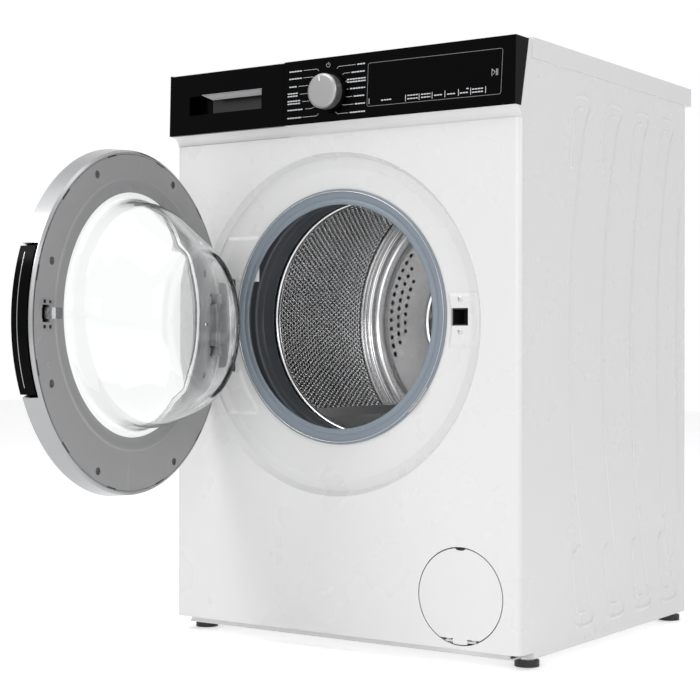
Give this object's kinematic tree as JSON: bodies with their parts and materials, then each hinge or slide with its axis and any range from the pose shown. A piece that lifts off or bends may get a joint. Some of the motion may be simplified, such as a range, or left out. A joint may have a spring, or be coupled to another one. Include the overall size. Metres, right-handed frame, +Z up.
{
  "type": "front load washing machine",
  "caption": "Front loading washing machine with a round glass door standing open on its left, a stainless drum, a detergent drawer, a knob and a flat worktop.",
  "frame": {"origin": "on the floor, under the middle of the box that the machine fills with its door standing open", "axes": "+X to the right as seen from the front, +Y from the front to the back, +Z up"},
  "size_m": [0.6, 1.0254, 0.845],
  "materials": {
    "white_steel": "gloss white enamel",
    "white_plastic": "gloss white moulding",
    "worktop_board": "white laminate on board",
    "zinc_sheet": "zinc-plated sheet",
    "black_gloss": "gloss black moulding",
    "black_plastic": "matt black moulding",
    "dark_plastic": "matt dark grey moulding",
    "grey_plastic": "matt mid grey moulding",
    "tub_plastic": "filled polypropylene, light grey",
    "blue_plastic": "gloss blue moulding",
    "silver_trim": "satin silver plating",
    "steel": "bright steel",
    "stainless": "polished stainless steel",
    "aluminium_cast": "die cast",
    "cast_grey": "cast, painted dark grey",
    "ballast": "rough grey casting",
    "rubber_grey": "matt blue-grey rubber",
    "rubber_black": "matt black rubber",
    "glass": "clear pressed glass",
    "circuit_board": "green laminate"
  },
  "bodies": {
    "cabinet": {"side_panel_left": "white_steel", "side_panel_right": "white_steel", "front_panel": "white_steel", "rear_panel": "zinc_sheet", "rear_service_cover": "zinc_sheet", "base_tray": "white_steel", "crossbars": "zinc_sheet", "worktop": "worktop_board", "worktop_trims": "white_plastic", "control_panel": "white_plastic", "fascia": "black_gloss", "display_board": "circuit_board", "dispenser_housing": "white_plastic", "inlet_valve": "white_plastic", "internal_hoses": "rubber_black", "filter_recess": "white_plastic", "drain_pump": "dark_plastic", "rear_outlets": "dark_plastic", "foot_locknuts": "steel", "hinge_bracket": "cast_grey", "hinge_pins": "steel", "door_lock": "black_plastic", "gasket": "rubber_grey", "gasket_clamps": "steel", "tub_front": "tub_plastic", "tub_rear": "tub_plastic", "drum_bearings": "steel", "shaft_seal": "rubber_black", "drive_belt": "rubber_black", "motor": "cast_grey", "counterweights": "ballast", "suspension_springs": "steel", "dampers": "black_plastic", "heater": "steel", "control_module": "dark_plastic"},
    "door": {"door_ring": "silver_trim", "door_inner_frame": "grey_plastic", "door_glass": "glass", "door_hinge_arm": "cast_grey"},
    "handle": {"door_handle": "black_gloss"},
    "latch_hook": {"door_latch_hook": "steel"},
    "drum": {"drum_shell": "stainless", "drum_front": "stainless", "drum_back": "stainless", "drum_lifters": "stainless", "drum_spider": "aluminium_cast", "drum_pulley": "aluminium_cast"},
    "motor_rotor": {"motor_pulley": "steel"},
    "drawer": {"drawer_front": "black_gloss", "drawer_tray": "tub_plastic", "siphon_cap": "blue_plastic"},
    "knob": {"programme_knob": "black_plastic", "knob_cap": "silver_trim"},
    "filter_door": {"filter_cover": "white_plastic"},
    "filter_cap": {"pump_filter_cap": "grey_plastic"},
    "impeller": {"pump_impeller": "tub_plastic"},
    "foot_fl": {"foot_front_left": "black_plastic"},
    "foot_fr": {"foot_front_right": "black_plastic"},
    "foot_rl": {"foot_rear_left": "black_plastic"},
    "foot_rr": {"foot_rear_right": "black_plastic"}
  },
  "joints": [
    {"name": "door_hinge", "type": "hinge", "parent": "cabinet", "child": "door", "pos_m": [-0.229, -0.05627, 0.4633], "axis": [0, 0, 1], "range_deg": [-58.7, 81.3]},
    {"name": "door_lever", "type": "hinge", "parent": "door", "child": "handle", "pos_m": [-0.16904, -0.47984, 0.4633], "axis": [0, 0, 1], "range_deg": [-20, 0], "stiffness_Nm_per_rad": 0.2, "springref_deg": 5.73},
    {"name": "latch_turn", "type": "hinge", "parent": "door", "child": "latch_hook", "pos_m": [-0.15414, -0.47608, 0.472], "axis": [0, 0, 1], "range_deg": [0, 12]},
    {"name": "drum_spin", "type": "hinge", "parent": "cabinet", "child": "drum", "pos_m": [-0.0075, 0.04773, 0.4743], "axis": [0, 1, 0], "continuous": true},
    {"name": "motor_spin", "type": "hinge", "parent": "cabinet", "child": "motor_rotor", "pos_m": [0.1225, 0.45173, 0.15], "axis": [0, 1, 0], "continuous": true},
    {"name": "drawer_slide", "type": "slide", "parent": "cabinet", "child": "drawer", "axis": [0, -1, 0], "range_m": [0, 0.2]},
    {"name": "knob_turn", "type": "hinge", "parent": "cabinet", "child": "knob", "pos_m": [0.001, -0.06827, 0.791], "axis": [0, 1, 0], "continuous": true},
    {"name": "filter_door_hinge", "type": "hinge", "parent": "cabinet", "child": "filter_door", "pos_m": [0.206, -0.04477, 0.032], "axis": [1, 0, 0], "range_deg": [0, 85]},
    {"name": "filter_cap_turn", "type": "hinge", "parent": "cabinet", "child": "filter_cap", "pos_m": [0.206, -0.01827, 0.0933], "axis": [0, 1, 0], "range_deg": [-90, 0]},
    {"name": "pump_spin", "type": "hinge", "parent": "cabinet", "child": "impeller", "pos_m": [0.206, 0.06173, 0.0933], "axis": [0, 1, 0], "continuous": true},
    {"name": "foot_fl_turn", "type": "hinge", "parent": "cabinet", "child": "foot_fl", "pos_m": [-0.28, 0.00423, 0], "axis": [0, 0, 1], "continuous": true},
    {"name": "foot_fr_turn", "type": "hinge", "parent": "cabinet", "child": "foot_fr", "pos_m": [0.28, 0.00423, 0], "axis": [0, 0, 1], "continuous": true},
    {"name": "foot_rl_turn", "type": "hinge", "parent": "cabinet", "child": "foot_rl", "pos_m": [-0.28, 0.47273, 0], "axis": [0, 0, 1], "continuous": true},
    {"name": "foot_rr_turn", "type": "hinge", "parent": "cabinet", "child": "foot_rr", "pos_m": [0.28, 0.47273, 0], "axis": [0, 0, 1], "continuous": true}
  ],
  "couplings": [
    {"joint": "latch_turn", "follows": "door_lever", "ratio": -0.6},
    {"joint": "motor_spin", "follows": "drum_spin", "ratio": 15}
  ]
}
